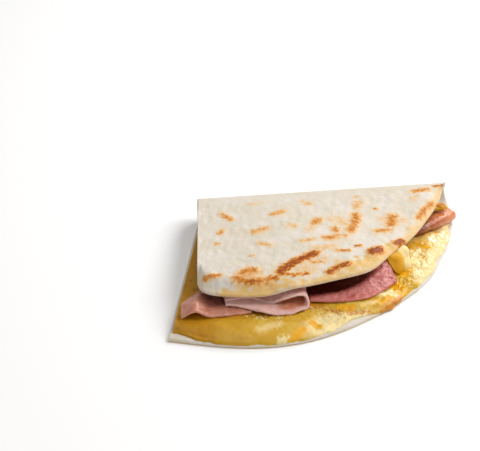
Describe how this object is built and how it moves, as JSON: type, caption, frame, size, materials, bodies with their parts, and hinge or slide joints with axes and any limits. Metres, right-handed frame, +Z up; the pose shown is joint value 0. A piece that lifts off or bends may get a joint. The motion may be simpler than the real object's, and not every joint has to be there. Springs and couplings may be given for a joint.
{
  "type": "ham quesadilla",
  "caption": "Folded flour tortilla cut to a wedge, with melted cheese and folded ham slices showing at the open rim.",
  "frame": {"origin": "middle of the bounding box in plan, on the surface it lies on", "axes": "+X along the fold, away from the cut; +Y from the open rim to the fold; +Z up"},
  "size_m": [0.1736, 0.1248, 0.0208],
  "materials": {
    "tortilla": "dry toasted flour tortilla, off-white with brown spots",
    "cheese": "melted orange and white cheese, glossy",
    "ham": "moist pink cooked ham"
  },
  "bodies": {
    "root": {"tortilla": "tortilla", "cheese_lower": "cheese", "cheese_upper": "cheese", "ham_left": "ham", "ham_middle": "ham", "ham_right": "ham", "ham_corner": "ham"}
  },
  "joints": []
}
